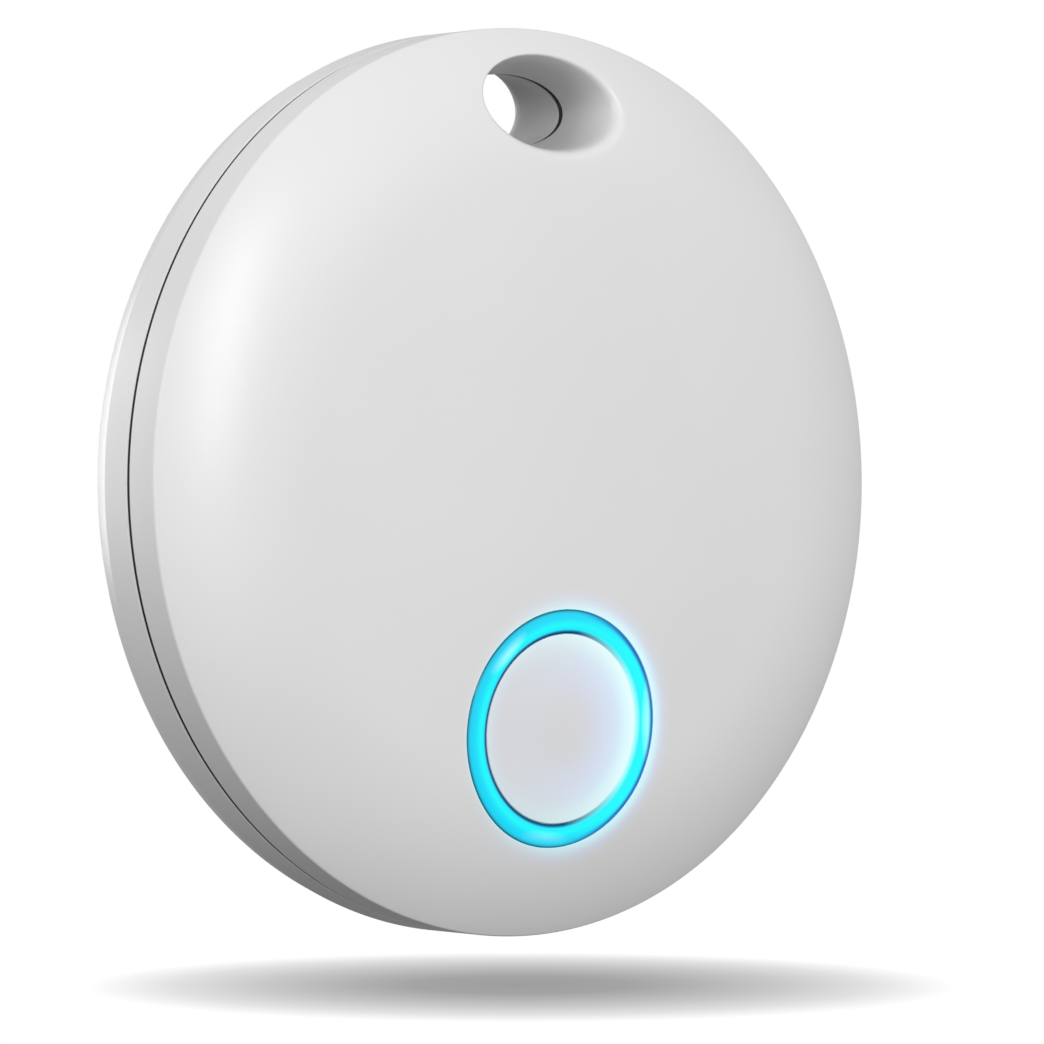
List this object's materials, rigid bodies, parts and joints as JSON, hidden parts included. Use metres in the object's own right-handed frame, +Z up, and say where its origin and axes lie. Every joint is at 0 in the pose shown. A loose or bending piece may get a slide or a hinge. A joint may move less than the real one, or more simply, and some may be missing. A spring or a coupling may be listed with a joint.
{
  "type": "bluetooth tracker tag",
  "caption": "Round domed keyring tracker tag with a flared keyring hole, a lit ring around a push button and a pull-off rear cover over a coin cell.",
  "frame": {"origin": "middle of the keyring hole, on the parting plane of the two shells", "axes": "+Z up towards the hanging point, -Y out of the domed front face, +Y out of the flat rear face, +X to the right seen from the front"},
  "size_m": [0.038, 0.0072, 0.038],
  "materials": {
    "shell_white": "fine satin moulded plastic",
    "button_white": "fine satin moulded plastic",
    "light_guide": "clear acrylic light guide, lit cyan",
    "adhesive": "cured clear glue",
    "gasket_black": "thin black rubber",
    "seal_rubber": "silicone rubber",
    "foam": "closed-cell foam",
    "frame_plastic": "moulded plastic",
    "board_green": "solder mask over glass-fibre board",
    "chip_black": "moulded epoxy",
    "switch_plastic": "moulded nylon",
    "spring_steel": "stainless spring sheet",
    "can_steel": "nickel-plated steel",
    "crystal_metal": "plated lid",
    "antenna_ceramic": "fired ceramic",
    "capacitor_ceramic": "fired ceramic with tinned ends",
    "resistor_black": "glazed film with tinned ends",
    "coil_grey": "ferrite",
    "led_lens": "clear epoxy",
    "contact_gold": "gold-plated copper alloy",
    "plate_brass": "rolled brass",
    "buzzer_ceramic": "silvered piezo ceramic",
    "gasket_plastic": "polypropylene",
    "cathode_black": "pressed powder",
    "separator_white": "thin fleece",
    "anode_lithium": "soft metal foil"
  },
  "bodies": {
    "housing": {"front_shell": "shell_white", "battery_frame": "frame_plastic", "light_ring": "light_guide", "ring_adhesive": "adhesive", "switch_base": "switch_plastic", "switch_dome": "spring_steel", "switch_frame": "spring_steel", "circuit_board": "board_green", "bluetooth_chip": "chip_black", "driver_chip": "chip_black", "radio_crystal": "crystal_metal", "clock_crystal": "crystal_metal", "chip_antenna": "antenna_ceramic", "capacitors": "capacitor_ceramic", "resistors": "resistor_black", "buzzer_coil": "coil_grey", "ring_leds": "led_lens", "test_pads": "contact_gold", "negative_contact": "contact_gold", "positive_contact": "contact_gold", "buzzer_plate": "plate_brass", "buzzer_ceramic": "buzzer_ceramic", "buzzer_adhesive": "adhesive", "buzzer_springs": "contact_gold"},
    "button": {"button_cap": "button_white", "switch_plunger": "switch_plastic"},
    "cover": {"rear_cover": "shell_white", "seam_gasket": "gasket_black", "cover_seal": "seal_rubber", "battery_pad": "foam"},
    "battery": {"battery_can": "can_steel", "battery_gasket": "gasket_plastic", "battery_cap": "can_steel", "battery_cathode": "cathode_black", "battery_separator": "separator_white", "battery_anode": "anode_lithium"}
  },
  "joints": [
    {"name": "button_press", "type": "slide", "parent": "housing", "child": "button", "axis": [0, 1, 0], "range_m": [0, 0.0002], "stiffness_N_per_m": 4000, "deforming": ["switch_dome"]},
    {"name": "cover_pull", "type": "slide", "parent": "housing", "child": "cover", "axis": [0, 1, 0], "range_m": [0, 0.024]},
    {"name": "battery_lift", "type": "slide", "parent": "housing", "child": "battery", "axis": [0, 1, 0], "range_m": [0, 0.012]}
  ],
  "couplings": [
    {"joint": "battery_lift", "follows": "cover_pull", "ratio": 0.5}
  ]
}
